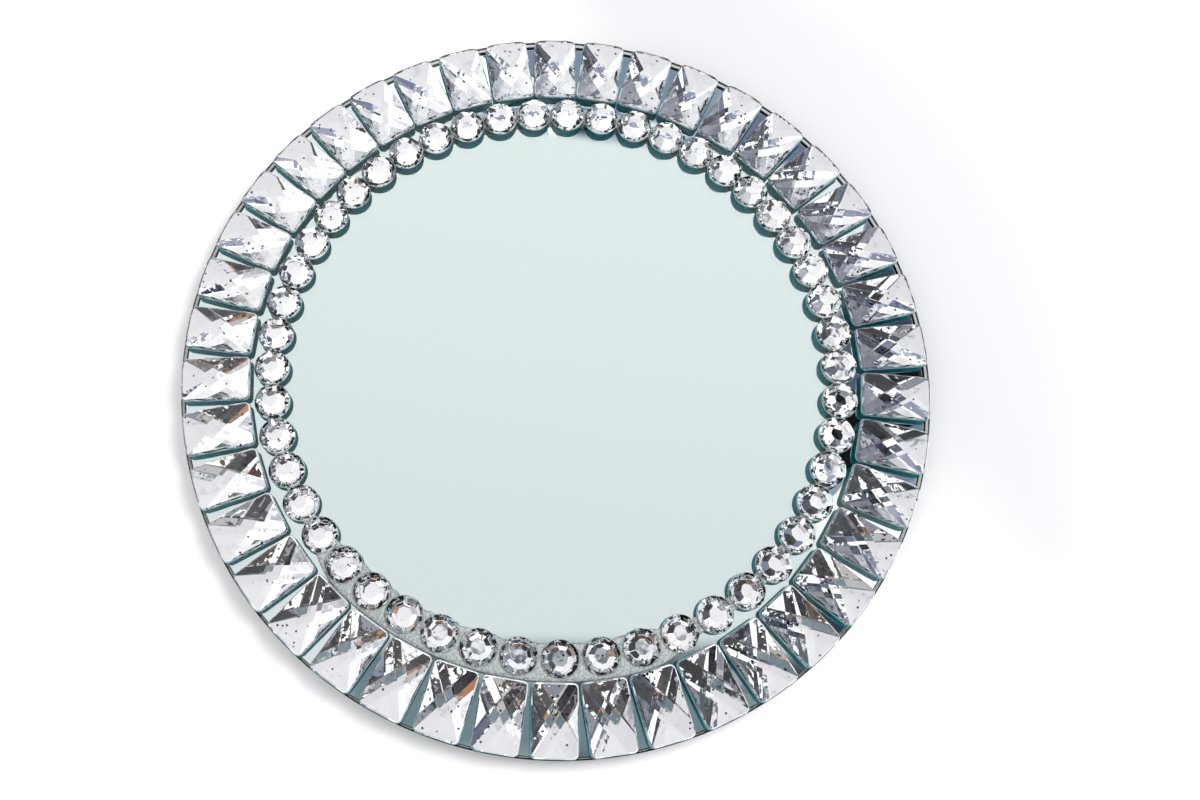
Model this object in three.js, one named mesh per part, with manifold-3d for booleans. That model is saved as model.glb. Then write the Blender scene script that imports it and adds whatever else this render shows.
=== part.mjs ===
// A round charger plate. A glass disc, silvered and painted on its back, stands on small bumpers.
// Rectangular cut stones lie side by side round its rim, and a ring of round cut stones lies inside
// them on a clear bead of adhesive. Millimetres, +Z up. The origin is on the table, under the
// middle of the disc, and +Y points to the top of the plate.

import * as THREE from 'three';
import { ConvexGeometry } from 'three/addons/geometries/ConvexGeometry.js';
import { mergeVertices } from 'three/addons/utils/BufferGeometryUtils.js';
import Module from 'manifold-3d';

const wasm = await Module();
wasm.setup();

// Disc
const plateRadius = 165;
const glassThickness = 5;
const arris = 0.8;
const silverThickness = 0.2;
const paintThickness = 0.4;
const coatInset = 0.9;
const seatClearance = 1;
const discSides = 96;

// Bumpers under the disc
const bumperCount = 4;
const bumperHeight = 3.5;
const bumperRadius = 6.5;
const bumperFootRadius = 4.5;
const bumperInset = 50;
const bumperSides = 24;

// Rectangular stones: the long side lies along the radius
const rectCount = 42;
const rectLength = 29.6;
const rectGap = 0.9;
const rectEdgeMargin = 0.7;
const rectCorner = 2.2;
const rectCornerSteps = 3;
const rectGirdle = 2;
const rectHeight = 5.6;
const rectLatticeStep = 6.3;
const rectInnerFall = 0.04;

// Round stones
const roundRadius = 7.65;
const roundHeight = 4.6;
const roundGirdle = 1.1;
const roundShoulderRadius = 6.5;
const roundShoulderHeight = 2.45;
const roundTableRadius = 3.5;
const roundGap = 0.7;
const ringGap = 1.95;
const tableSides = 8;
const stonesPerStrip = 7;

// Adhesive
const glueFilm = 0.3;
const beadHeight = 0.7;
const beadHalfWidth = 5.2;
const beadEndGap = 0.3;
const beadArcSteps = 10;

// The stones are laid by hand, so their spacing drifts slowly round the plate (radians)
const rectDrift = { once: -0.014, oncePhase: 0.4, twice: -0.0105, twicePhase: 0.77 };
const roundDrift = { once: -0.033, oncePhase: 0.03, twice: 0.0155, twicePhase: -0.07 };
const rectFirstAngle = 0.015;
const roundFirstAngle = -0.2216;
const rectTurn = 0.009;
const rectTurnStep = 2.4;
const roundTurnStep = 1.9;

// Levels
const paintBottom = bumperHeight;
const silverBottom = paintBottom + paintThickness;
const glassBottom = silverBottom + silverThickness;
const glassTop = glassBottom + glassThickness;

// Places worked out from the sizes
const rectOuterEnd = plateRadius - rectEdgeMargin;
const rectInnerEnd = rectOuterEnd - rectLength;
const rectWidth = (2 * Math.PI * rectInnerEnd) / rectCount - rectGap;
const ringRadius = rectInnerEnd - ringGap - roundRadius;
const seatRadius = ringRadius - roundRadius - seatClearance;
const roundCount = Math.floor((2 * Math.PI * ringRadius) / (2 * roundRadius + roundGap));
const bumperCircle = plateRadius - bumperInset;

const materials = {
  glass: new THREE.MeshStandardMaterial({ color: 0xd9eae6, roughness: 0.03, metalness: 0 }),
  silver: new THREE.MeshStandardMaterial({ color: 0xe6ebea, roughness: 0.04, metalness: 1 }),
  paint: new THREE.MeshStandardMaterial({ color: 0x6f7478, roughness: 0.6, metalness: 0 }),
  rubber: new THREE.MeshStandardMaterial({ color: 0xdfe3e2, roughness: 0.35, metalness: 0 }),
  rectStone: new THREE.MeshStandardMaterial({ color: 0xf2f2f6, roughness: 0.02, metalness: 0.1 }),
  roundStone: new THREE.MeshStandardMaterial({ color: 0xe9ecee, roughness: 0.02, metalness: 0.1 }),
};

const plate = new THREE.Group();

function addMesh(name, geometry, material) {
  const mesh = new THREE.Mesh(geometry, material);
  mesh.name = name;
  plate.add(mesh);
  return mesh;
}

// A closed turned solid from its half section, given as [radius, height] pairs
function turned(section, sides) {
  const points = section.map(([radius, height]) => new THREE.Vector2(radius, height));
  const geometry = new THREE.LatheGeometry(points, sides);
  geometry.rotateX(Math.PI / 2);
  return geometry;
}

function toSolid(geometry) {
  const bare = geometry.clone();
  bare.deleteAttribute('normal');
  bare.deleteAttribute('uv');
  const merged = mergeVertices(bare, 1e-4);
  const mesh = new wasm.Mesh({
    numProp: 3,
    vertProperties: new Float32Array(merged.attributes.position.array),
    triVerts: new Uint32Array(merged.index.array),
  });
  return new wasm.Manifold(mesh);
}

function toGeometry(solid) {
  const mesh = solid.getMesh();
  const geometry = new THREE.BufferGeometry();
  geometry.setAttribute('position', new THREE.BufferAttribute(mesh.vertProperties, 3));
  geometry.setIndex(new THREE.BufferAttribute(mesh.triVerts, 1));
  geometry.computeVertexNormals();
  return geometry;
}

// Angle of stone number index, clockwise from +Y. A half number lies midway between two stones.
function laidAngle(index, count, first, drift) {
  const turn = (2 * Math.PI * index) / count;
  const once = drift.once * Math.sin(turn + drift.oncePhase);
  const twice = drift.twice * Math.sin(2 * turn + drift.twicePhase);
  return first + turn + once + twice;
}

// The disc of float glass, its edge ground flat with an arris above and below. The bare seat
// inside the stones ends at its own radius.
function glassDisc() {
  const inner = plateRadius - arris;
  return turned([
    [0, glassBottom],
    [inner, glassBottom],
    [plateRadius, glassBottom + arris],
    [plateRadius, glassTop - arris],
    [inner, glassTop],
    [seatRadius, glassTop],
    [0, glassTop],
  ], discSides);
}

// A coat on the back of the glass, stopping short of the ground edge
function coat(bottom, thickness) {
  const radius = plateRadius - coatInset;
  return turned([
    [0, bottom],
    [radius, bottom],
    [radius, bottom + thickness],
    [0, bottom + thickness],
  ], discSides);
}

// A soft stick-on bumper, wider where it is stuck on
function bumper() {
  return turned([
    [0, 0],
    [bumperFootRadius, 0],
    [bumperRadius, bumperHeight / 2],
    [bumperRadius, bumperHeight],
    [0, bumperHeight],
  ], bumperSides);
}

// Outline of the rectangular stone, anticlockwise, as [x, y] pairs with rounded corners
function rectOutline() {
  const points = [];
  const cornerX = rectWidth / 2 - rectCorner;
  const cornerY = rectLength / 2 - rectCorner;
  const signs = [[1, 1], [-1, 1], [-1, -1], [1, -1]];
  signs.forEach(([signX, signY], quarter) => {
    for (let step = 0; step <= rectCornerSteps; step += 1) {
      const angle = ((quarter + step / rectCornerSteps) * Math.PI) / 2;
      points.push([
        signX * cornerX + rectCorner * Math.cos(angle),
        signY * cornerY + rectCorner * Math.sin(angle),
      ]);
    }
  });
  return points;
}

// Rectangular stone: flat back, upright girdle and a low crown. The crown is cut along lines that
// run with the rectangle's two diagonals: the diagonals themselves and one line on each side of
// them. Each line is known by where it meets the stone's long middle line.
function rectStone() {
  const halfWidth = rectWidth / 2;
  const halfLength = rectLength / 2;
  const slope = halfLength / halfWidth;
  const edgeFall = (rectHeight - rectGirdle) / 2;
  const outerFall = (edgeFall - rectInnerFall * rectLatticeStep) / (halfLength - rectLatticeStep);
  function fall(line) {
    const near = Math.min(Math.abs(line), rectLatticeStep);
    return rectInnerFall * near + outerFall * (Math.abs(line) - near);
  }
  function crownPoint(x, y) {
    const height = rectHeight - fall(y - slope * x) - fall(y + slope * x);
    return new THREE.Vector3(x, y, height);
  }
  const points = [];
  rectOutline().forEach(([x, y]) => {
    points.push(new THREE.Vector3(x, y, 0), crownPoint(x, y));
  });
  const lines = [-rectLatticeStep, 0, rectLatticeStep];
  lines.forEach((rising) => {
    lines.forEach((falling) => {
      points.push(crownPoint((falling - rising) / (2 * slope), (falling + rising) / 2));
    });
  });
  const diagonal = new THREE.Vector2(halfWidth, halfLength).normalize();
  const cornerCentre = new THREE.Vector2(halfWidth - rectCorner, halfLength - rectCorner);
  const along = diagonal.dot(cornerCentre);
  const aside = cornerCentre.lengthSq() - along * along;
  const corner = diagonal.multiplyScalar(along + Math.sqrt(rectCorner * rectCorner - aside));
  const lineEnd = halfLength - rectLatticeStep;
  [-1, 1].forEach((signX) => {
    [-1, 1].forEach((signY) => {
      points.push(
        crownPoint((signX * lineEnd) / slope, signY * halfLength),
        crownPoint(signX * halfWidth, signY * lineEnd),
        crownPoint(signX * corner.x, signY * corner.y),
      );
    });
  });
  return new ConvexGeometry(points);
}

// Round stone: flat back, low girdle, two rows of crown facets and an eight-sided table
function roundStone() {
  const points = [];
  const girdleSides = 2 * tableSides;
  for (let side = 0; side < girdleSides; side += 1) {
    const angle = (2 * Math.PI * side) / girdleSides;
    const x = roundRadius * Math.cos(angle);
    const y = roundRadius * Math.sin(angle);
    points.push(new THREE.Vector3(x, y, 0), new THREE.Vector3(x, y, roundGirdle));
  }
  for (let side = 0; side < tableSides; side += 1) {
    const angle = (2 * Math.PI * side) / tableSides;
    const direction = new THREE.Vector3(Math.cos(angle), Math.sin(angle), 0);
    points.push(
      direction.clone().multiplyScalar(roundShoulderRadius).setZ(roundShoulderHeight),
      direction.clone().multiplyScalar(roundTableRadius).setZ(roundHeight),
    );
  }
  return new ConvexGeometry(points);
}

// The flat bead of adhesive under one run of round stones, between two angles clockwise from +Y
function bead(startAngle, endAngle) {
  const outer = ringRadius + beadHalfWidth;
  const inner = ringRadius - beadHalfWidth;
  const from = Math.PI / 2 - endAngle;
  const to = Math.PI / 2 - startAngle;
  const band = new THREE.Shape();
  band.absarc(0, 0, outer, from, to, false);
  band.absarc(0, 0, inner, to, from, true);
  band.closePath();
  const settings = { depth: beadHeight, bevelEnabled: false, curveSegments: beadArcSteps };
  return new THREE.ExtrudeGeometry(band, settings);
}

// One run of round stones, joined by its own bead
function roundStrip(first, last) {
  const endTrim = beadEndGap / 2 / ringRadius;
  const start = laidAngle(first - 0.5, roundCount, roundFirstAngle, roundDrift) + endTrim;
  const end = laidAngle(last + 0.5, roundCount, roundFirstAngle, roundDrift) - endTrim;
  let solid = toSolid(bead(start, end));
  for (let index = first; index <= last; index += 1) {
    const angle = laidAngle(index, roundCount, roundFirstAngle, roundDrift);
    const stone = roundStone();
    stone.rotateZ(index * roundTurnStep);
    stone.translate(ringRadius * Math.sin(angle), ringRadius * Math.cos(angle), glueFilm);
    solid = solid.add(toSolid(stone));
  }
  return toGeometry(solid);
}

addMesh('mirror_glass', glassDisc(), materials.glass);
addMesh('silver_coat', coat(silverBottom, silverThickness), materials.silver);
addMesh('backing_paint', coat(paintBottom, paintThickness), materials.paint);

for (let index = 0; index < bumperCount; index += 1) {
  const angle = (2 * Math.PI * (index + 0.5)) / bumperCount;
  const mesh = addMesh(`bumper_${index + 1}`, bumper(), materials.rubber);
  mesh.position.set(bumperCircle * Math.cos(angle), bumperCircle * Math.sin(angle), 0);
}

for (let index = 0; index < rectCount; index += 1) {
  const angle = laidAngle(index, rectCount, rectFirstAngle, rectDrift);
  const radius = (rectInnerEnd + rectOuterEnd) / 2;
  const number = String(index + 1).padStart(2, '0');
  const mesh = addMesh(`rect_stone_${number}`, rectStone(), materials.rectStone);
  mesh.position.set(radius * Math.sin(angle), radius * Math.cos(angle), glassTop + glueFilm);
  mesh.rotation.z = -angle + rectTurn * Math.sin(rectTurnStep * index);
}

const stripCount = Math.ceil(roundCount / stonesPerStrip);
for (let strip = 0; strip < stripCount; strip += 1) {
  const first = strip * stonesPerStrip;
  const last = Math.min(first + stonesPerStrip, roundCount) - 1;
  const geometry = roundStrip(first, last);
  const mesh = addMesh(`round_stone_strip_${strip + 1}`, geometry, materials.roundStone);
  mesh.position.z = glassTop;
}

export default plate;
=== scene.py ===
import math

import bmesh
import bpy
from mathutils import Matrix, Vector


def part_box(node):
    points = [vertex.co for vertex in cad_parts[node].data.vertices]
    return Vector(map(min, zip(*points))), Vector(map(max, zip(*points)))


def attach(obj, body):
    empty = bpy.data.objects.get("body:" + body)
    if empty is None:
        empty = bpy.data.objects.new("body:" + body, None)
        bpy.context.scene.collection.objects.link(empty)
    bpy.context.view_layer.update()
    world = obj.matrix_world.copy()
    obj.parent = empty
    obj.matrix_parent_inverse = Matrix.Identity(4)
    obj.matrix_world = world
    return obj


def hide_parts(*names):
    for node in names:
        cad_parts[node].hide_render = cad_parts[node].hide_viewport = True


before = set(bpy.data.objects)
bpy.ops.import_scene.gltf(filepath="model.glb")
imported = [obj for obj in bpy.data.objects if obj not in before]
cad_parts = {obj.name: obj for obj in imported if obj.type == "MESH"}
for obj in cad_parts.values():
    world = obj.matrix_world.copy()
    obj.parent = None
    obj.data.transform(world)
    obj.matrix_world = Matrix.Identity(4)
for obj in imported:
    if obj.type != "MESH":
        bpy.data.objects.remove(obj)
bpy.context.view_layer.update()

# Mirror disc: 5 mm float glass, cut round and polished, with a narrow arris above and below, and a
# line of near-black painted shade round its upper corner, for the dark line along the glass edge.
# The back is silvered to just short of the edge, and seen through the green of the glass. The
# silver darkens in a thin line where air gets at it.
MM = 0.001
DISC_SIDES = 384
ARRIS = 0.8 * MM
COAT_INSET = 0.9 * MM
GLASS_TINT = (0.36, 0.667, 0.653)
GLASS_DENSITY = 42
SILVER = (0.972, 0.972, 0.96)
TARNISH = (0.05, 0.045, 0.04)
TARNISH_WIDTH = 0.35 * MM
TARNISH_GRAIN = 3 * MM
RIM_SHADE = (0.008, 0.01, 0.012)
RIM_SHADE_WIDTH = 0.7 * MM
RIM_SHADE_GRAIN = 0.8 * MM
RIM_SHADE_RELIEF = 0.05 * MM
SHARP_EDGE = math.radians(25)
FLAT_DOWN = -0.99
SLANTED_UP = 0.5


class Nodes:
    """Short calls that add and join the nodes of a material, a world or a Geometry Nodes tree."""

    def __init__(self, tree):
        self.tree = tree

    def join(self, value, socket):
        if isinstance(value, bpy.types.NodeSocket):
            self.tree.links.new(value, socket)
        elif socket.type == "RGBA":
            socket.default_value = (*value, 1)
        else:
            socket.default_value = value

    def add(self, kind, settings=None, **inputs):
        node = self.tree.nodes.new(kind)
        for key, value in (settings or {}).items():
            setattr(node, key, value)
        for key, value in inputs.items():
            self.join(value, node.inputs[key.replace("_", " ")])
        return node

    def calc(self, operation, *values):
        node = self.add("ShaderNodeMath", {"operation": operation})
        for value, socket in zip(values, node.inputs):
            self.join(value, socket)
        return node.outputs[0]

    def vector(self, operation, *values, **inputs):
        node = self.add("ShaderNodeVectorMath", {"operation": operation}, **inputs)
        for value, socket in zip(values, node.inputs):
            self.join(value, socket)
        return node.outputs["Value" if operation == "LENGTH" else "Vector"]

    def rise(self, value, start, end):
        """0 before start and 1 after end, with a smooth rise between them."""
        node = self.add("ShaderNodeMapRange", {"interpolation_type": "SMOOTHSTEP"}, Value=value)
        node.inputs["From Min"].default_value = start
        node.inputs["From Max"].default_value = end
        return node.outputs[0]

    def mix(self, share, first, second):
        node = self.add("ShaderNodeMix", {"data_type": "RGBA"})
        self.join(share, node.inputs[0])
        self.join(first, node.inputs[6])
        self.join(second, node.inputs[7])
        return node.outputs[2]

    def noise(self, place, size, detail=2.0):
        """Soft noise from 0 to 1, about as coarse as the given size in metres."""
        node = self.add("ShaderNodeTexNoise", None, Vector=place, Scale=1 / size, Detail=detail)
        return node.outputs[0]


def new_piece(name, mesh):
    piece = bpy.data.objects.new(name, mesh)
    bpy.context.scene.collection.objects.link(piece)
    return piece


def new_finish(name, **settings):
    """A material with these settings on its main shader, its nodes, and the place on the piece."""
    material = bpy.data.materials.new(name)
    material.use_nodes = True
    nodes = Nodes(material.node_tree)
    shader = material.node_tree.nodes["Principled BSDF"]
    for key, value in settings.items():
        nodes.join(value, shader.inputs[key.replace("_", " ")])
    place = nodes.add("ShaderNodeTexCoord").outputs["Object"]
    return material, nodes, shader, place


def roughen(nodes, shader, height, depth):
    """Raises the surface by a height from 0 to 1, at most as far as depth."""
    bump = nodes.add("ShaderNodeBump", None, Height=height, Distance=depth)
    nodes.join(bump.outputs[0], shader.inputs["Normal"])


def turned(name, section, sides):
    """A solid turned about +Z from its half section, from the lower pole up to the upper one."""
    shape = bmesh.new()
    rings = []
    for radius, height in section:
        count = sides if radius else 1
        angles = [2 * math.pi * step / sides for step in range(count)]
        rings.append([
            shape.verts.new((radius * math.cos(angle), radius * math.sin(angle), height))
            for angle in angles])
    for low, high in zip(rings, rings[1:]):
        for step in range(sides):
            after = step + 1
            corners = [low[step % len(low)], low[after % len(low)]]
            corners += [high[after % len(high)], high[step % len(high)]]
            face = shape.faces.new(list(dict.fromkeys(corners)))
            face.smooth = True
    mesh = bpy.data.meshes.new(name)
    shape.to_mesh(mesh)
    shape.free()
    mesh.set_sharp_from_angle(angle=SHARP_EDGE)
    return new_piece(name, mesh)


glass_low, glass_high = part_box("mirror_glass")
disc_radius = glass_high.x
arris_radius = disc_radius - ARRIS
rim_shade_radius = disc_radius - RIM_SHADE_WIDTH
silver_radius = disc_radius - COAT_INSET
mirror_disc = turned("mirror_disc", [
    (0, glass_low.z),
    (silver_radius, glass_low.z),
    (arris_radius, glass_low.z),
    (disc_radius, glass_low.z + ARRIS),
    (disc_radius, glass_high.z - ARRIS),
    (rim_shade_radius, glass_high.z - ARRIS + RIM_SHADE_WIDTH),
    (arris_radius, glass_high.z),
    (0, glass_high.z),
], DISC_SIDES)

float_glass, nodes, shader, place = new_finish(
    "float_glass", Base_Color=(1, 1, 1), Roughness=0, IOR=1.52, Transmission_Weight=1)
absorption = nodes.add("ShaderNodeVolumeAbsorption", None, Color=GLASS_TINT, Density=GLASS_DENSITY)
nodes.join(absorption.outputs[0], nodes.tree.nodes["Material Output"].inputs["Volume"])

silvering, nodes, shader, place = new_finish("silvering", Metallic=1, Roughness=0)
reach = nodes.vector("LENGTH", nodes.vector("MULTIPLY", place, (1, 1, 0)))
ragged = nodes.calc("MULTIPLY", nodes.noise(place, TARNISH_GRAIN), TARNISH_WIDTH)
tarnished = nodes.rise(
    nodes.calc("ADD", reach, ragged), silver_radius - TARNISH_WIDTH, silver_radius)
nodes.join(nodes.mix(tarnished, SILVER, TARNISH), shader.inputs["Base Color"])

# Painted shade: a near-black finish on the outer slant of the upper arris, for the dark line round the
# glass edge.
painted_rim_shade, nodes, shader, place = new_finish(
    "painted_rim_shade", Base_Color=RIM_SHADE, Roughness=0.8, Specular_IOR_Level=0.05)
roughen(nodes, shader, nodes.noise(place, RIM_SHADE_GRAIN, 3.0), RIM_SHADE_RELIEF)

for finish in (float_glass, silvering, painted_rim_shade):
    mirror_disc.data.materials.append(finish)
for face in mirror_disc.data.polygons:
    if face.normal.z < FLAT_DOWN and face.center.xy.length < silver_radius:
        face.material_index = 1
    elif face.normal.z > SLANTED_UP and face.center.xy.length > rim_shade_radius:
        face.material_index = 2
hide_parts("mirror_glass", "silver_coat")
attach(mirror_disc, "root")

# Backing paint: the grey coat that keeps damp off the silver. It is rolled on the whole back of the
# glass, which leaves a fine orange peel and slight clouds of a thicker and a thinner coat.
PAINT = (0.16, 0.17, 0.18)
THIN_PAINT = (0.24, 0.25, 0.26)
CLOUD_SIZE = 40 * MM
PEEL_SIZE = 1.5 * MM
PEEL_RELIEF = 0.15 * MM

backing_paint, nodes, shader, place = new_finish("backing_paint", Roughness=0.5)
clouds = nodes.rise(nodes.noise(place, CLOUD_SIZE, 5.0), 0.4, 0.7)
nodes.join(nodes.mix(clouds, PAINT, THIN_PAINT), shader.inputs["Base Color"])
roughen(nodes, shader, nodes.noise(place, PEEL_SIZE, 3.0), PEEL_RELIEF)
paint_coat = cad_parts["backing_paint"]
paint_coat.data.materials.clear()
paint_coat.data.materials.append(backing_paint)

# Bumpers: four soft clear feet of moulded polyurethane, each with a rounded shoulder and a flat
# foot. They are stuck to the paint on the back.
BUMPER_COUNT = 4
BUMPER_INSET = 50 * MM
BUMPER_ROUNDING = 1.6 * MM
BUMPER_ROUND_STEPS = 8
BUMPER_SIDES = 48
FOOT_TUCK = 0.6
SHOULDER_RISE = 1.3
BUMPER_TINT = (0.86, 0.9, 0.9)
SKIN_GRAIN = 0.6 * MM
SKIN_RELIEF = 0.04 * MM


class Shaping(Nodes):
    """A Geometry Nodes tree with named inputs."""

    def __init__(self, name, inputs):
        super().__init__(bpy.data.node_groups.new(name, "GeometryNodeTree"))
        panel = self.tree.interface
        panel.new_socket("Geometry", in_out="INPUT", socket_type="NodeSocketGeometry")
        self.sockets = {}
        for label, kind in inputs.items():
            made = panel.new_socket(label, in_out="INPUT", socket_type="NodeSocket" + kind)
            self.sockets[label] = made.identifier
        panel.new_socket("Geometry", in_out="OUTPUT", socket_type="NodeSocketGeometry")
        self.given = self.add("NodeGroupInput").outputs
        self.result = self.add("NodeGroupOutput").inputs["Geometry"]

    def shape(self, piece, **values):
        """Runs the tree on a piece with these inputs and keeps the mesh that comes out."""
        modifier = piece.modifiers.new(self.tree.name, "NODES")
        modifier.node_group = self.tree
        for label, value in values.items():
            modifier[self.sockets[label.replace("_", " ")]] = value
        graph = bpy.context.evaluated_depsgraph_get()
        mesh = bpy.data.meshes.new_from_object(piece.evaluated_get(graph))
        piece.modifiers.remove(modifier)
        piece.data = mesh


# What every ring on the plate is laid by: the drifts are the slow wander of a ring laid by hand
LAYING = {
    "Count": "Int", "Radius": "Float", "Base": "Float", "First angle": "Float",
    "Drift once": "Float", "Once phase": "Float", "Drift twice": "Float", "Twice phase": "Float",
}


def laid_places(tree):
    """Points round the plate, clockwise from +Y, with their numbers and their angles."""
    given = tree.given
    number = tree.add("GeometryNodeInputIndex").outputs[0]
    turn = tree.calc("DIVIDE", tree.calc("MULTIPLY", number, 2 * math.pi), given["Count"])
    once = tree.calc("SINE", tree.calc("ADD", turn, given["Once phase"]))
    twice = tree.calc("SINE", tree.calc("MULTIPLY_ADD", turn, 2.0, given["Twice phase"]))
    angle = tree.calc("ADD", given["First angle"], turn)
    angle = tree.calc("MULTIPLY_ADD", once, given["Drift once"], angle)
    angle = tree.calc("MULTIPLY_ADD", twice, given["Drift twice"], angle)
    across = tree.calc("MULTIPLY", given["Radius"], tree.calc("SINE", angle))
    along = tree.calc("MULTIPLY", given["Radius"], tree.calc("COSINE", angle))
    place = tree.add("ShaderNodeCombineXYZ", None, X=across, Y=along, Z=given["Base"]).outputs[0]
    points = tree.add("GeometryNodePoints", None, Count=given["Count"], Position=place).outputs[0]
    return points, number, angle


laid_ring = Shaping("laid_ring", {
    **LAYING, "Facing": "Float", "Sway": "Float", "Sway step": "Float", "Spin": "Float",
    "Lean": "Float", "Seed": "Int", "Body": "Material", "Back": "Material"})
points, number, angle = laid_places(laid_ring)
given = laid_ring.given
sway = laid_ring.calc("SINE", laid_ring.calc("MULTIPLY", number, given["Sway step"]))
heading = laid_ring.calc("MULTIPLY", number, given["Spin"])
heading = laid_ring.calc("MULTIPLY_ADD", sway, given["Sway"], heading)
heading = laid_ring.calc("SUBTRACT", heading, laid_ring.calc("MULTIPLY", angle, given["Facing"]))
leans = []
for axis in range(2):
    lean = laid_ring.add("FunctionNodeRandomValue", {"data_type": "FLOAT"}, ID=number)
    laid_ring.join(laid_ring.calc("MULTIPLY", given["Lean"], -1.0), lean.inputs[2])
    laid_ring.join(given["Lean"], lean.inputs[3])
    laid_ring.join(laid_ring.calc("ADD", given["Seed"], float(axis)), lean.inputs["Seed"])
    leans.append(lean.outputs[1])
turns = laid_ring.add("ShaderNodeCombineXYZ", None, X=leans[0], Y=leans[1], Z=heading)
rotation = laid_ring.add("FunctionNodeEulerToRotation", None, Euler=turns.outputs[0])
copies = laid_ring.add(
    "GeometryNodeInstanceOnPoints", None, Points=points, Instance=given["Geometry"],
    Rotation=rotation.outputs[0])
solids = laid_ring.add("GeometryNodeRealizeInstances", None, Geometry=copies.outputs[0])
bodies = laid_ring.add(
    "GeometryNodeSetMaterial", None, Geometry=solids.outputs[0], Material=given["Body"])
backs = laid_ring.add("GeometryNodeInputNamedAttribute", {"data_type": "BOOLEAN"}, Name="back")
backed = laid_ring.add(
    "GeometryNodeSetMaterial", None, Geometry=bodies.outputs[0], Material=given["Back"],
    Selection=backs.outputs["Attribute"])
laid_ring.join(backed.outputs[0], laid_ring.result)

bumper_low, bumper_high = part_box("bumper_1")
bumper_radius = (bumper_high.x - bumper_low.x) / 2
shoulder = bumper_radius - BUMPER_ROUNDING
section = [(0, 0), (shoulder - FOOT_TUCK * BUMPER_ROUNDING, 0)]
for step in range(1, BUMPER_ROUND_STEPS + 1):
    bend = math.pi / 2 * step / BUMPER_ROUND_STEPS
    section.append((
        shoulder + BUMPER_ROUNDING * ((1 + FOOT_TUCK) * math.sin(bend) - FOOT_TUCK),
        SHOULDER_RISE * BUMPER_ROUNDING * (1 - math.cos(bend))))
section += [(bumper_radius, bumper_high.z), (0, bumper_high.z)]
bumpers = turned("bumpers", section, BUMPER_SIDES)

polyurethane, nodes, shader, place = new_finish(
    "polyurethane", Base_Color=BUMPER_TINT, Roughness=0.3, IOR=1.5, Transmission_Weight=0.6)
roughen(nodes, shader, nodes.noise(place, SKIN_GRAIN, 3.0), SKIN_RELIEF)
laid_ring.shape(
    bumpers, Count=BUMPER_COUNT, Radius=disc_radius - BUMPER_INSET, First_angle=math.pi / BUMPER_COUNT,
    Body=polyurethane, Back=polyurethane)
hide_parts(*[f"bumper_{number + 1}" for number in range(BUMPER_COUNT)])
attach(bumpers, "root")

# Rectangular stones: pressed clear glass with a flat back, an upright girdle and a low crown cut
# along both diagonals and one line on each side of them. The back is foiled, and the stones are
# glued down side by side by hand, long side outwards.
RECT_COUNT = 42
RECT_LENGTH = 29.6 * MM
RECT_GAP = 0.9 * MM
RECT_EDGE_MARGIN = 0.7 * MM
RECT_CORNER = 2.2 * MM
RECT_CORNER_STEPS = 8
RECT_GIRDLE = 2 * MM
RECT_HEIGHT = 5.45 * MM
LATTICE_STEP = 6.3 * MM
INNER_FALL = 0.04
GLUE_FILM = 0.3 * MM
STONE_LEAN = 0.005
RECT_SEED = 3
RECT_LAYING = {
    "Count": RECT_COUNT, "First_angle": 0.015, "Drift_once": -0.014, "Once_phase": 0.4,
    "Drift_twice": -0.0105, "Twice_phase": 0.77, "Facing": 1.0, "Sway": 0.009, "Sway_step": 2.4,
}
FACET_EDGE = 0.1 * MM
GIRDLE_EDGE = 0.5 * MM
# The strip round the back of each rectangular stone, whose foil is painted near-black: painted shade for
# the dark line round the stone.
RECT_EDGE_SHADE_WIDTH = 0.4 * MM
UPRIGHT = 1e-3
CUT_TOLERANCE = 1e-8
SHORTEST_EDGE = 1e-7

stone_base = glass_high.z + GLUE_FILM
rect_outer = disc_radius - RECT_EDGE_MARGIN
rect_inner = rect_outer - RECT_LENGTH
rect_radius = (rect_inner + rect_outer) / 2
rect_width = 2 * math.pi * rect_inner / RECT_COUNT - RECT_GAP


def rounded_rectangle(width, length, corner, steps):
    outline = []
    for quarter, (sign_x, sign_y) in enumerate(((1, 1), (-1, 1), (-1, -1), (1, -1))):
        for step in range(steps + 1):
            angle = (quarter + step / steps) * math.pi / 2
            outline.append((
                sign_x * (width / 2 - corner) + corner * math.cos(angle),
                sign_y * (length / 2 - corner) + corner * math.sin(angle)))
    return outline


def prism(outline, height):
    """A rough stone before it is cut. Its upright girdle is shaded as one smooth wall."""
    stone = bmesh.new()
    low = [stone.verts.new((x, y, 0)) for x, y in outline]
    high = [stone.verts.new((x, y, height)) for x, y in outline]
    stone.faces.new(low[::-1])
    stone.faces.new(high)
    for step in range(len(outline)):
        after = (step + 1) % len(outline)
        wall = stone.faces.new((low[step], low[after], high[after], high[step]))
        wall.smooth = True
    return stone


def cut(stone, normal, point):
    """Grinds a facet: all of the stone beyond the plane goes, and one face closes the cut."""
    whole = stone.verts[:] + stone.edges[:] + stone.faces[:]
    ground = bmesh.ops.bisect_plane(
        stone, geom=whole, plane_co=point, plane_no=normal, clear_outer=True,
        dist=CUT_TOLERANCE)
    rim = [part for part in ground["geom_cut"] if isinstance(part, bmesh.types.BMEdge)]
    if rim:
        bmesh.ops.edgeloop_fill(stone, edges=rim)


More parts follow.
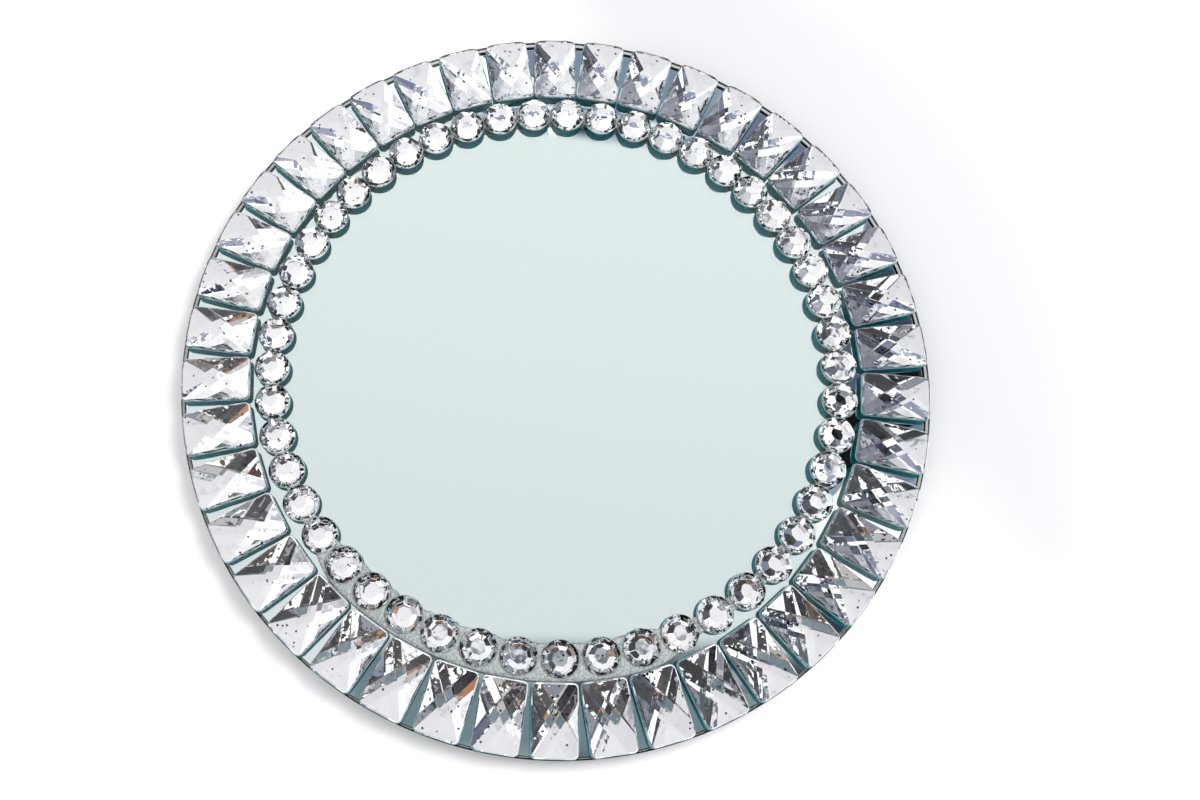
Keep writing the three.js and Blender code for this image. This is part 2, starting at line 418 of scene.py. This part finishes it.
def ease(stone, width, at_girdle):
    """Rounds off the sharp edges between the facets, or those between the crown and the girdle."""
    bmesh.ops.recalc_face_normals(stone, faces=stone.faces[:])
    chosen = []
    for edge in stone.edges:
        upright = [abs(face.normal.z) < UPRIGHT for face in edge.link_faces]
        above = min(vert.co.z for vert in edge.verts) > width
        if above and any(upright) == at_girdle and not all(upright):
            chosen.append(edge)
    bmesh.ops.bevel(stone, geom=chosen, offset=width, segments=1, affect="EDGES", clamp_overlap=True)
    bmesh.ops.dissolve_degenerate(stone, edges=stone.edges[:], dist=SHORTEST_EDGE)


def part_back(stone, width):
    """Parts the flat back into its middle and the strip along its edge."""
    stone.faces.ensure_lookup_table()
    back = min(stone.faces, key=lambda face: face.calc_center_median().z)
    bmesh.ops.inset_individual(stone, faces=[back], thickness=width)


def finished(name, stone, edge_shade=None):
    """The cut stone as a piece with flat facets, a smooth girdle and its back marked for the foil.

    Where the last argument is given, the foil goes on to the edge, and the strip there is painted
    near-black in spots, the more of it the larger that number: painted shade for the dark rim round the
    stone.
    """
    bmesh.ops.recalc_face_normals(stone, faces=stone.faces[:])
    for face in stone.faces:
        face.normal_update()
        face.smooth = abs(face.normal.z) < UPRIGHT
    for edge in stone.edges:
        edge.smooth = all(face.smooth for face in edge.link_faces)
    mesh = bpy.data.meshes.new(name)
    stone.to_mesh(mesh)
    stone.free()
    mesh.attributes.new("back", "BOOLEAN", "FACE")
    mesh.attributes.new("edge_shade", "FLOAT", "FACE")
    for face in mesh.polygons:
        below = face.normal.z < FLAT_DOWN
        at_edge = below and face.loop_total == 4
        mesh.attributes["back"].data[face.index].value = below and (not at_edge or edge_shade is not None)
        mesh.attributes["edge_shade"].data[face.index].value = edge_shade or 0 if at_edge else 0
    return new_piece(name, mesh)


half_width = rect_width / 2
half_length = RECT_LENGTH / 2
slope = half_length / half_width
edge_fall = (RECT_HEIGHT - RECT_GIRDLE) / 2
outer_fall = (edge_fall - INNER_FALL * LATTICE_STEP) / (half_length - LATTICE_STEP)
outer_start = LATTICE_STEP * (INNER_FALL - outer_fall)
stone = prism(rounded_rectangle(rect_width, RECT_LENGTH, RECT_CORNER, RECT_CORNER_STEPS), RECT_HEIGHT)
for rising_start, rising_fall in ((0, INNER_FALL), (outer_start, outer_fall)):
    for falling_start, falling_fall in ((0, INNER_FALL), (outer_start, outer_fall)):
        for rising_sign in (1, -1):
            for falling_sign in (1, -1):
                rising = rising_fall * rising_sign
                falling = falling_fall * falling_sign
                facet = (slope * (falling - rising), rising + falling, 1)
                cut(stone, facet, (0, 0, RECT_HEIGHT - rising_start - falling_start))
ease(stone, GIRDLE_EDGE, True)
ease(stone, FACET_EDGE, False)
part_back(stone, RECT_EDGE_SHADE_WIDTH)
rect_stones = finished("rect_stones", stone, 1)

GLASS_WAVE = 5 * MM
GLASS_WAVE_DEPTH = 0.015 * MM
RECT_FOIL = (0.818, 0.832, 0.848)
DULLED = (0.78, 0.78, 0.8)
DULL_SIZE = 7 * MM
WRINKLE_SIZE = 4.5 * MM
FINE_WRINKLE_SIZE = 1.5 * MM
FINE_WRINKLES = 0.2
WRINKLE_DEPTH = 0.025 * MM
# The spots of painted shade on the foil's edge strips, and the near-black used both for them and for the
# real specks in the foil.
EDGE_SHADE_SPOT_SIZE = 2.2 * MM
SPECK_AND_EDGE_SHADE = (0.02, 0.018, 0.02)
SPECK_SPACING = 2 * MM
SPECK_SHARE = 0.06
DUST_SIZE = 20 * MM
DUSTY_SHARE = 0.2

clear_glass, nodes, shader, place = new_finish(
    "clear_glass", Base_Color=(1, 1, 1), Roughness=0, IOR=1.5, Transmission_Weight=1)
roughen(nodes, shader, nodes.noise(place, GLASS_WAVE, 1.0), GLASS_WAVE_DEPTH)


def new_foil(name, shine, fine_wrinkles):
    """Mirror foil, dulled here and there, with dark specks, and with spots of painted shade on its edge
    strips.
    """
    foil, nodes, shader, place = new_finish(name, Metallic=1, Roughness=0)
    wrinkles = nodes.calc(
        "MULTIPLY_ADD", nodes.noise(place, FINE_WRINKLE_SIZE, 1.0), fine_wrinkles,
        nodes.noise(place, WRINKLE_SIZE, 1.0))
    roughen(nodes, shader, wrinkles, WRINKLE_DEPTH)
    dulled = nodes.rise(nodes.noise(place, DULL_SIZE, 3.0), 0.56, 0.8)
    tone = nodes.mix(dulled, shine, [bright * kept for bright, kept in zip(shine, DULLED)])
    # Painted shade: spots on the edge strips go near-black, for the dark rim round each stone.
    edge_shade = nodes.add("ShaderNodeAttribute", {"attribute_name": "edge_shade"}).outputs["Fac"]
    edge_shade = nodes.rise(nodes.calc("ADD", nodes.noise(place, EDGE_SHADE_SPOT_SIZE), edge_shade), 1.0, 1.04)
    tone = nodes.mix(edge_shade, tone, SPECK_AND_EDGE_SHADE)
    specks = nodes.add("ShaderNodeTexVoronoi", None, Vector=place, Scale=1 / SPECK_SPACING)
    near_speck = nodes.rise(specks.outputs["Distance"], 0.3, 0.21)
    chance = nodes.add("ShaderNodeSeparateColor", None, Color=specks.outputs["Color"]).outputs[0]
    dusty = nodes.rise(nodes.noise(place, DUST_SIZE), 0.45, 0.6)
    share = nodes.calc("MULTIPLY_ADD", dusty, DUSTY_SHARE, SPECK_SHARE)
    chosen = nodes.calc("LESS_THAN", chance, share)
    speckled = nodes.mix(nodes.calc("MULTIPLY", near_speck, chosen), tone, SPECK_AND_EDGE_SHADE)
    nodes.join(speckled, shader.inputs["Base Color"])
    return foil


laid_ring.shape(
    rect_stones, **RECT_LAYING, Radius=rect_radius, Base=stone_base, Lean=STONE_LEAN, Seed=RECT_SEED,
    Body=clear_glass, Back=new_foil("rect_foil", RECT_FOIL, FINE_WRINKLES))
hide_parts(*[f"rect_stone_{number + 1:02d}" for number in range(RECT_COUNT)])
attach(rect_stones, "root")

# Round stones: clear pressed glass, 15.3 mm across, with a table and eight main facets over a low
# girdle. Their foiled backs sit in the adhesive, with each stone turned as it came to hand.
ROUND_RADIUS = 7.65 * MM
ROUND_HEIGHT = 4.55 * MM
ROUND_GIRDLE = 1.1 * MM
SHOULDER_RADIUS = 6.5 * MM
SHOULDER_HEIGHT = 2.4 * MM
# The ring round the back of each round stone, and the share of it painted near-black in spots: painted
# shade for the dark rim round the stone.
ROUND_EDGE_SHADE_WIDTH = 1.6 * MM
ROUND_EDGE_SHADE_SHARE = 0.48
ROUND_FOIL = (0.93, 0.943, 0.953)
TABLE_RADIUS = 3.5 * MM
ROUND_GAP = 0.7 * MM
RING_GAP = 1.95 * MM
TABLE_SIDES = 8
ROUND_SIDES = 64
ROUND_SPIN = 1.9
ROUND_SEED = 11

ring_radius = rect_inner - RING_GAP - ROUND_RADIUS
round_count = math.floor(2 * math.pi * ring_radius / (2 * ROUND_RADIUS + ROUND_GAP))
ROUND_LAYING = {
    "Count": round_count, "Radius": ring_radius, "First_angle": -0.2216, "Drift_once": -0.033,
    "Once_phase": 0.03, "Drift_twice": 0.0155, "Twice_phase": -0.07,
}


def on_circle(radius, angle, height):
    return Vector((radius * math.cos(angle), radius * math.sin(angle), height))


girdle = [on_circle(ROUND_RADIUS, 2 * math.pi * side / ROUND_SIDES, 0) for side in range(ROUND_SIDES)]
stone = prism([point.xy for point in girdle], ROUND_HEIGHT)
half_side = math.pi / TABLE_SIDES
flat = math.cos(half_side)
main_fall = (ROUND_HEIGHT - SHOULDER_HEIGHT) / ((SHOULDER_RADIUS - TABLE_RADIUS) * flat)
low_fall = (SHOULDER_HEIGHT - ROUND_GIRDLE) / (ROUND_RADIUS - SHOULDER_RADIUS * flat)
for side in range(TABLE_SIDES):
    outwards = on_circle(1, (2 * side + 1) * half_side, 0)
    main_facet = (*(outwards.xy * main_fall), 1)
    low_facet = (*(outwards.xy * low_fall), 1)
    cut(stone, main_facet, (*(outwards.xy * TABLE_RADIUS * flat), ROUND_HEIGHT))
    cut(stone, low_facet, (*(outwards.xy * SHOULDER_RADIUS * flat), SHOULDER_HEIGHT))
for side in range(2 * TABLE_SIDES):
    corner_angle = 2 * half_side * math.floor((side + 1) / 2)
    corner = on_circle(SHOULDER_RADIUS, corner_angle, SHOULDER_HEIGHT)
    start = on_circle(ROUND_RADIUS, side * half_side, ROUND_GIRDLE)
    end = on_circle(ROUND_RADIUS, (side + 1) * half_side, ROUND_GIRDLE)
    cut(stone, (end - start).cross(corner - start), corner)
ease(stone, FACET_EDGE, True)
ease(stone, FACET_EDGE, False)
part_back(stone, ROUND_EDGE_SHADE_WIDTH)
round_stones = finished("round_stones", stone, ROUND_EDGE_SHADE_SHARE)
laid_ring.shape(
    round_stones, **ROUND_LAYING, Base=stone_base, Spin=ROUND_SPIN, Lean=STONE_LEAN, Seed=ROUND_SEED,
    Body=clear_glass, Back=new_foil("round_foil", ROUND_FOIL, 0.0))
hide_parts(*[f"round_stone_strip_{number}" for number in range(1, 8)])
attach(round_stones, "root")

# Glue pools: each stone is set in a thin pool of clear glue, which is squeezed out a little all
# round it. The mirror shows them from below, as dark green crescents and wedges beside the
# stones, where the glue lies under the foil, each with a pale line at its clear rim. Under the
# stone, the pool's underside is a bright, blotchy cyan: painted light that stands in for the light
# too dim to reach there.
POOL_OVERHANG = 0.3 * MM
POOL_LAP = 0.05 * MM
POOL_THICKNESS = 0.18 * MM
POOL_LIFT = 0.1 * MM
TEAL_PAINTED_LIGHT = (0.05, 0.8, 0.95)
PALE_TEAL_PAINTED_LIGHT = (0.4, 0.95, 0.98)
CLEAR_GLUE = (0.97, 1, 0.99)
BLOTCH_SIZE = 4 * MM
GLUE_GRAIN = 0.8 * MM
GLUE_RELIEF = 0.05 * MM

# Painted light: the pool's underside is a bright blotchy cyan, standing in for light too dim under the
# stones.
glue_back_painted_light, nodes, shader, place = new_finish("glue_back_painted_light", Roughness=0.3)
blotches = nodes.rise(nodes.noise(place, BLOTCH_SIZE, 3.0), 0.5, 0.8)
nodes.join(nodes.mix(blotches, TEAL_PAINTED_LIGHT, PALE_TEAL_PAINTED_LIGHT), shader.inputs["Base Color"])
clear_glue, nodes, shader, place = new_finish(
    "clear_glue", Base_Color=CLEAR_GLUE, Roughness=0.1, IOR=1.45, Transmission_Weight=0.8)
roughen(nodes, shader, nodes.noise(place, GLUE_GRAIN), GLUE_RELIEF)


def pool(name, outline, stone_outline):
    """A flat drop of glue. It spreads past the stone where it meets the mirror."""
    drop = prism(outline, POOL_THICKNESS)
    for vert, above in zip(drop.verts[len(outline):], stone_outline):
        vert.co.xy = above
    part_back(drop, POOL_OVERHANG + POOL_LAP)
    return finished(name, drop)


outlines = [
    rounded_rectangle(
        rect_width + 2 * spread, RECT_LENGTH + 2 * spread, RECT_CORNER + spread, RECT_CORNER_STEPS)
    for spread in (POOL_OVERHANG, 0)]
rect_pools = pool("rect_pools", *outlines)
laid_ring.shape(
    rect_pools, **RECT_LAYING, Radius=rect_radius, Base=glass_high.z + POOL_LIFT, Lean=STONE_LEAN,
    Seed=RECT_SEED, Body=clear_glue, Back=glue_back_painted_light)
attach(rect_pools, "root")

outlines = [
    [point.xy * (1 + spread / ROUND_RADIUS) for point in girdle]
    for spread in (POOL_OVERHANG, 0)]
round_pools = pool("round_pools", *outlines)
laid_ring.shape(
    round_pools, **ROUND_LAYING, Base=glass_high.z + POOL_LIFT, Spin=ROUND_SPIN, Lean=STONE_LEAN,
    Seed=ROUND_SEED, Body=clear_glue, Back=glue_back_painted_light)
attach(round_pools, "root")

# Adhesive bead: a run of clear hot glue under the ring of round stones, frosty where it has set in
# the air. It is a thin line between the stones, except at the bottom of the plate, where more was
# used and it fills the space between the two rings.
BEAD_STEPS = 1200
BEAD_ROWS = 26
BEAD_FLOOR = 0.02 * MM
BEAD_THICKNESS = 0.75 * MM
BEAD_UNDER = 0.05 * MM
BEAD_HALF_WIDTH = 3 * MM
WIDE_START = math.radians(148)
WIDE_END = math.radians(222)
WIDE_RAMP = math.radians(7)
WIDE_INNER = ring_radius - 6.2 * MM
WIDE_OUTER = rect_inner - 0.1 * MM
BEAD_WAVE = 4 * MM
BEAD_SWAY = 5 * MM
BEAD_ROUNDING = 0.12
LUMP_SIZE = 1.6 * MM
LUMP_HEIGHT = 1.2
LEAST_LUMP = 0.3
AIR_START = -0.1 * MM
AIR_FULL = 0.7 * MM
SEAM = 0.001 * MM

adhesive = Shaping("adhesive", {
    **LAYING, "Thickness": "Float", "Stone radius": "Float", "Steps": "Int", "Rows": "Int",
    "Finish": "Material"})
points = laid_places(adhesive)[0]
given = adhesive.given


def bead_sheet(rows, upper):
    """One side of the bead, as a sheet bent into a ring. Both sides share their outer lines."""
    sheet = adhesive.add(
        "GeometryNodeMeshGrid", None, Size_X=1.0, Size_Y=1.0, Vertices_Y=rows,
        Vertices_X=adhesive.calc("ADD", given["Steps"], 1.0))
    grid_place = adhesive.add("GeometryNodeInputPosition").outputs[0]
    spot = adhesive.add("ShaderNodeSeparateXYZ", None, Vector=grid_place)
    turn = adhesive.calc("MULTIPLY_ADD", spot.outputs["X"], 2 * math.pi, math.pi)
    share = adhesive.calc("ADD", spot.outputs["Y"], 0.5)
    x_share = adhesive.calc("SINE", turn)
    y_share = adhesive.calc("COSINE", turn)
    heading = adhesive.add("ShaderNodeCombineXYZ", None, X=x_share, Y=y_share).outputs[0]
    on_ring = adhesive.vector("SCALE", heading, Scale=given["Radius"])
    swing = adhesive.calc("SUBTRACT", adhesive.noise(on_ring, BEAD_WAVE, 3.0), 0.5)
    wide = adhesive.calc(
        "MULTIPLY", adhesive.rise(turn, WIDE_START - WIDE_RAMP, WIDE_START + WIDE_RAMP),
        adhesive.rise(turn, WIDE_END + WIDE_RAMP, WIDE_END - WIDE_RAMP))
    edges = []
    for narrow, broad, sway in ((-BEAD_HALF_WIDTH, WIDE_INNER - ring_radius, BEAD_SWAY),
                                (BEAD_HALF_WIDTH, WIDE_OUTER - ring_radius, 0.0)):
        spread = adhesive.calc("MULTIPLY_ADD", swing, sway, broad - narrow)
        edges.append(adhesive.calc("MULTIPLY_ADD", wide, spread, narrow))
    width = adhesive.calc("SUBTRACT", edges[1], edges[0])
    offset = adhesive.calc("MULTIPLY_ADD", share, width, edges[0])
    radius = adhesive.calc("ADD", given["Radius"], offset)
    floor_height = adhesive.add("ShaderNodeCombineXYZ", None, Z=given["Base"]).outputs[0]
    place = adhesive.vector("ADD", adhesive.vector("SCALE", heading, Scale=radius), floor_height)
    if upper:
        nearest = adhesive.add(
            "GeometryNodeProximity", {"target_element": "POINTS"}, Geometry=points, Sample_Position=place)
        away = adhesive.calc("SUBTRACT", nearest.outputs["Distance"], given["Stone radius"])
        open_air = adhesive.rise(away, AIR_START, AIR_FULL)
        lumps = adhesive.noise(place, LUMP_SIZE, 3.0)
        lumps = adhesive.calc("MULTIPLY_ADD", lumps, LUMP_HEIGHT, LEAST_LUMP)
        swell = adhesive.calc("MULTIPLY", adhesive.calc("MULTIPLY", given["Thickness"], lumps), open_air)
        swell = adhesive.calc("ADD", swell, BEAD_UNDER)
        rounding = adhesive.calc(
            "MULTIPLY", adhesive.rise(share, 0.0, BEAD_ROUNDING),
            adhesive.rise(share, 1.0, 1 - BEAD_ROUNDING))
        lift = adhesive.add("ShaderNodeCombineXYZ", None, Z=adhesive.calc("MULTIPLY", swell, rounding))
        place = adhesive.vector("ADD", place, lift.outputs[0])
    bent = adhesive.add("GeometryNodeSetPosition", None, Geometry=sheet.outputs["Mesh"], Position=place)
    if not upper:
        bent = adhesive.add("GeometryNodeFlipFaces", None, Mesh=bent.outputs[0])
    return bent.outputs[0]


sides = adhesive.add("GeometryNodeJoinGeometry")
adhesive.join(bead_sheet(given["Rows"], True), sides.inputs[0])
adhesive.join(bead_sheet(2, False), sides.inputs[0])
closed = adhesive.add(
    "GeometryNodeMergeByDistance", None, Geometry=sides.outputs[0], Distance=SEAM)
smooth = adhesive.add("GeometryNodeSetShadeSmooth", None, Geometry=closed.outputs[0])
whole = adhesive.add("GeometryNodeRealizeInstances", None, Geometry=smooth.outputs[0])
finished_bead = adhesive.add(
    "GeometryNodeSetMaterial", None, Geometry=whole.outputs[0], Material=given["Finish"])
adhesive.join(finished_bead.outputs[0], adhesive.result)

FROST = (0.97, 1, 0.99)
GLUE_SHADE = (0.52, 0.61, 0.6)
FROST_PATCH = 0.9 * MM
FROST_GRAIN = 0.5 * MM
FROST_RELIEF = 0.25 * MM
frosty_glue, nodes, shader, place = new_finish(
    "frosty_glue", Roughness=0.35, IOR=1.45, Transmission_Weight=0.55)
grain = nodes.rise(nodes.noise(place, FROST_PATCH, 3.0), 0.38, 0.62)
nodes.join(nodes.mix(grain, GLUE_SHADE, FROST), shader.inputs["Base Color"])
roughen(nodes, shader, nodes.noise(place, FROST_GRAIN, 3.0), FROST_RELIEF)
bead = new_piece("adhesive_bead", bpy.data.meshes.new("adhesive_bead"))
adhesive.shape(
    bead, **ROUND_LAYING, Base=glass_high.z + BEAD_FLOOR, Thickness=BEAD_THICKNESS,
    Stone_radius=ROUND_RADIUS, Steps=BEAD_STEPS, Rows=BEAD_ROWS, Finish=frosty_glue)
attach(bead, "root")

# Studio: a plain pale table under one large softbox. The mirror and the foils look back at the
# softbox and, past its edges, at the dim and bright sides of the room, so all of that hangs on a
# ceiling 1 m up. Lower down, the room fades into plain light.
FLOOR_REACH = 3
PAPER = (0.9, 0.9, 0.9)
SHADED_PAPER = (0.6, 0.605, 0.615)
SHADE_SLANT = 0.9
SHADE_START = 0.05
SHADE_FULL = 0.2
SHADE_NEAR = 0.21
SHADE_FAR = 0.35
NEAR_HORIZON = 0.05
WALL_FOOT = 0.1
WALL_TOP = 0.22
LOW_LIGHT_FOOT = 0.6
LOW_LIGHT_TOP = 0.72
FAR = 99
HARD_EDGE = 0.008
WARP_SCALE = 0.6


def seen(red, green, blue):
    """Light of a colour that is given as a screen shows it, from 0 to 255."""
    shares = [value / 255 for value in (red, green, blue)]
    return tuple(s / 12.92 if s < 0.04045 else ((s + 0.055) / 1.055) ** 2.4 for s in shares)


def white(light):
    return (light, light, light)


BLACK = seen(22, 20, 24)
CHARCOAL = seen(58, 56, 62)
BROWN = seen(96, 76, 62)
TAN = seen(190, 134, 88)
STEEL = seen(150, 152, 162)
SOFTBOX_NEAR = (0.91, 0.893, 0.925)
SOFTBOX_FAR = (1.03, 1.015, 1.02)
LOW_LIGHT_LEFT = white(1.15)
LOW_LIGHT_RIGHT = seen(150, 153, 164)
WALL = seen(40, 42, 46)
BACKDROP = (0.86, 0.86, 0.87)
LAMP_PLACE = Vector((0.9, 0.5, 1.3))
LAMP_WIDTH = 0.9
LAMP_POWER = 24

mesh = bpy.data.meshes.new("floor")
corners = [(x * FLOOR_REACH, y * FLOOR_REACH, 0) for x, y in ((-1, -1), (1, -1), (1, 1), (-1, 1))]
mesh.from_pydata(corners, [], [(0, 1, 2, 3)])
floor = new_piece("floor", mesh)
floor_paper, nodes, shader, place = new_finish("floor_paper", Roughness=0.9)
spot = nodes.add("ShaderNodeSeparateXYZ", None, Vector=place).outputs
backwards = nodes.calc("MULTIPLY_ADD", spot["Y"], SHADE_SLANT, spot["X"])
backwards = nodes.rise(backwards, SHADE_START, SHADE_FULL)
beside = nodes.rise(nodes.vector("LENGTH", place), SHADE_FAR, SHADE_NEAR)
shaded = nodes.calc("MULTIPLY", backwards, beside)
nodes.join(nodes.mix(shaded, PAPER, SHADED_PAPER), shader.inputs["Base Color"])
mesh.materials.append(floor_paper)

world = bpy.data.worlds.new("studio")
bpy.context.scene.world = world
world.use_nodes = True
studio = Nodes(world.node_tree)
backdrop = world.node_tree.nodes["Background"]
direction = studio.add("ShaderNodeTexCoord").outputs["Generated"]
parts = studio.add("ShaderNodeSeparateXYZ", None, Vector=direction).outputs
height = studio.calc("MAXIMUM", parts["Z"], NEAR_HORIZON)
across = studio.calc("DIVIDE", parts["X"], height)
along = studio.calc("DIVIDE", parts["Y"], height)
ceiling = studio.add("ShaderNodeCombineXYZ", None, X=across, Y=along).outputs[0]


def card(behind, left, right, near, far, edge, light, skew=0.0):
    """A soft-edged card on the ceiling, in front of what is behind it. Places are in metres."""
    depth = studio.calc("MULTIPLY_ADD", across, -skew, along)
    share = studio.rise(across, left - edge, left + edge)
    for value, start, end in ((across, right + edge, right - edge), (depth, near - edge, near + edge),
                              (depth, far + edge, far - edge)):
        share = studio.calc("MULTIPLY", share, studio.rise(value, start, end))
    return studio.mix(share, behind, light)


def clutter(size, stops, bend=1.5, softness=0.12):
    """Things in the room, as soft cells of one tone each. A stop is a share of them and its tone."""
    warp = studio.add("ShaderNodeTexNoise", None, Vector=ceiling, Scale=WARP_SCALE / size, Detail=2.0)
    bent = studio.vector("MULTIPLY_ADD", warp.outputs["Color"], (bend * size, bend * size, 0), ceiling)
    soft_cells = {"voronoi_dimensions": "2D", "feature": "SMOOTH_F1"}
    cells = studio.add(
        "ShaderNodeTexVoronoi", soft_cells, Vector=bent, Scale=1 / size, Smoothness=softness)
    tone = studio.add("ShaderNodeSeparateColor", None, Color=cells.outputs["Color"]).outputs[0]
    ramp = studio.add("ShaderNodeValToRGB", None, Fac=tone)
    elements = ramp.color_ramp.elements
    elements[0].color = (*stops[0][1], 1)
    elements[1].color = (*stops[-1][1], 1)
    blend = softness / 10
    position = 0
    for (share, light), (_, next_light) in zip(stops, stops[1:]):
        position += share
        elements.new(position - blend).color = (*light, 1)
        elements.new(position + blend).color = (*next_light, 1)
    return ramp.outputs[0]


dim_room = clutter(0.055, [
    (0.32, BLACK), (0.18, CHARCOAL), (0.11, BROWN), (0.05, TAN), (0.12, STEEL),
    (0.06, seen(196, 192, 190)), (0.16, white(1.5))])
room = clutter(0.055, [
    (0.2, BLACK), (0.13, CHARCOAL), (0.07, BROWN), (0.04, TAN), (0.13, STEEL),
    (0.12, seen(206, 202, 200)), (0.31, white(1.5))])
blue_room = clutter(0.08, [
    (0.34, seen(20, 21, 27)), (0.2, seen(66, 74, 90)), (0.14, seen(116, 125, 145)),
    (0.1, seen(166, 171, 188)), (0.22, white(1.5))], softness=0.2)
lilac_room = clutter(0.06, [
    (0.24, seen(162, 168, 191)), (0.14, seen(120, 127, 158)), (0.12, seen(54, 58, 92)),
    (0.14, seen(198, 202, 219)), (0.36, white(1.6))], bend=0.3)
equipment = clutter(0.014, [
    (0.3, seen(84, 88, 96)), (0.35, seen(116, 124, 132)), (0.35, seen(176, 180, 186))], softness=0.9)
mixed_room = clutter(0.085, [
    (0.34, white(1.7)), (0.14, white(1.4)), (0.12, white(1.15)),
    (0.12, seen(190, 192, 204)), (0.12, seen(84, 80, 84)), (0.09, seen(28, 28, 32)),
    (0.07, seen(140, 92, 58))], bend=0.6, softness=0.3)
bright_room = clutter(0.1, [
    (0.5, white(1.8)), (0.22, white(1.5)), (0.16, white(1.1)), (0.12, (0.97, 0.98, 1.02))],
    bend=0.6, softness=0.4)
softbox = studio.mix(studio.rise(along, 0.05, 0.6), SOFTBOX_NEAR, SOFTBOX_FAR)

# Straight above, the room is dim. Past the softbox and to its right, it is bluish.
lit = card(dim_room, -0.08, 0.36, -FAR, 0.1, 0.04, room)
lit = card(lit, -0.5, FAR, 0.1, FAR, 0.05, blue_room)
lit = card(lit, 0.37, FAR, -0.25, 0.12, 0.04, blue_room)
# The far end is bright, with a window, a pale wall and lilac things
lit = card(lit, -FAR, 0.6, 0.9, FAR, 0.1, bright_room)
lit = card(lit, -0.25, 0.35, 0.86, 1.6, 0.04, white(1.6))
lit = card(lit, -FAR, -0.2, 0.5, 0.9, 0.06, seen(222, 224, 236))
lit = card(lit, -0.25, 0.35, 0.5, 0.85, 0.04, lilac_room)
lit = card(lit, -0.03, 0.13, 0.59, 0.68, HARD_EDGE, seen(140, 155, 178))
# The left side is bright too, but for a few darker things at its near end
lit = card(lit, -FAR, -0.29, -0.1, FAR, 0.05, mixed_room)
lit = card(lit, -FAR, -0.29, 0.1, FAR, 0.05, bright_room)
lit = card(lit, -0.53, -0.29, -0.13, 0.04, 0.03, room)
# The softbox with its flap, and the equipment in front of its near edge
lit = card(lit, -0.34, 0.275, 0.03, 0.565, HARD_EDGE, softbox)
lit = card(lit, -0.29, -0.11, -0.03, 0.05, HARD_EDGE, softbox)
lit = card(lit, -0.13, 0.24, -0.045, 0.05, 0.02, seen(126, 142, 150), 0.15)
lit = card(lit, -0.1, 0.3, 0.015, 0.05, 0.016, equipment, 0.15)
# Behind the camera, the room is mixed on the left and bright further back
lit = card(lit, -FAR, -0.53, -FAR, -0.1, 0.05, mixed_room)
lit = card(lit, -FAR, FAR, -FAR, -0.45, 0.05, bright_room)
# Lower down, the light is plain, with a dark wall at its foot. The camera sees a pale backdrop.
low_light = studio.mix(studio.rise(across, 0.0, 0.8), LOW_LIGHT_LEFT, LOW_LIGHT_RIGHT)
lit = studio.mix(studio.rise(parts["Z"], LOW_LIGHT_TOP, LOW_LIGHT_FOOT), lit, low_light)
lit = studio.mix(studio.rise(parts["Z"], WALL_TOP, WALL_FOOT), lit, WALL)
straight = studio.add("ShaderNodeLightPath").outputs["Is Camera Ray"]
studio.join(studio.mix(straight, lit, BACKDROP), backdrop.inputs["Color"])

lamp_data = bpy.data.lights.new("lamp", "AREA")
lamp_data.shape = "SQUARE"
lamp_data.size = LAMP_WIDTH
lamp_data.energy = LAMP_POWER
lamp = bpy.data.objects.new("lamp", lamp_data)
bpy.context.scene.collection.objects.link(lamp)
lamp.location = LAMP_PLACE
lamp.rotation_euler = LAMP_PLACE.to_track_quat("Z", "Y").to_euler()
lamp.visible_glossy = False
lamp.visible_transmission = False

# Camera: it looks down on the plate from over its lower edge, leaning back a little. The plate sits
# left of the picture's middle, so the lens is shifted to the right.
FOCAL_LENGTH = 33
SENSOR_WIDTH = 36
PICTURE_WIDTH = 1200
SHIFT_RIGHT = 105.5
SHIFT_UP = -5
CAMERA_PLACE = Vector((-7.12, -147.26, 473.12)) * MM
CAMERA_RIGHT = Vector((0.98806, 0.15397, 0.0056))
CAMERA_BACK = Vector((0.03679, -0.27107, 0.96186))
CLIP_START = 10 * MM
LIGHT_BOUNCES = 24

camera_data = bpy.data.cameras.new("camera")
camera = bpy.data.objects.new("camera", camera_data)
bpy.context.scene.collection.objects.link(camera)
camera_data.sensor_width = SENSOR_WIDTH
camera_data.lens = FOCAL_LENGTH
camera_data.shift_x = SHIFT_RIGHT / PICTURE_WIDTH
camera_data.shift_y = SHIFT_UP / PICTURE_WIDTH
camera_data.clip_start = CLIP_START
camera_up = CAMERA_BACK.cross(CAMERA_RIGHT)
axes = Matrix((CAMERA_RIGHT, camera_up, CAMERA_BACK)).transposed()
camera.matrix_world = Matrix.Translation(CAMERA_PLACE) @ axes.to_4x4()
bpy.context.scene.camera = camera
bpy.context.scene.view_settings.view_transform = "Standard"
cycles = bpy.context.scene.cycles
cycles.max_bounces = LIGHT_BOUNCES
cycles.glossy_bounces = LIGHT_BOUNCES
cycles.transmission_bounces = LIGHT_BOUNCES
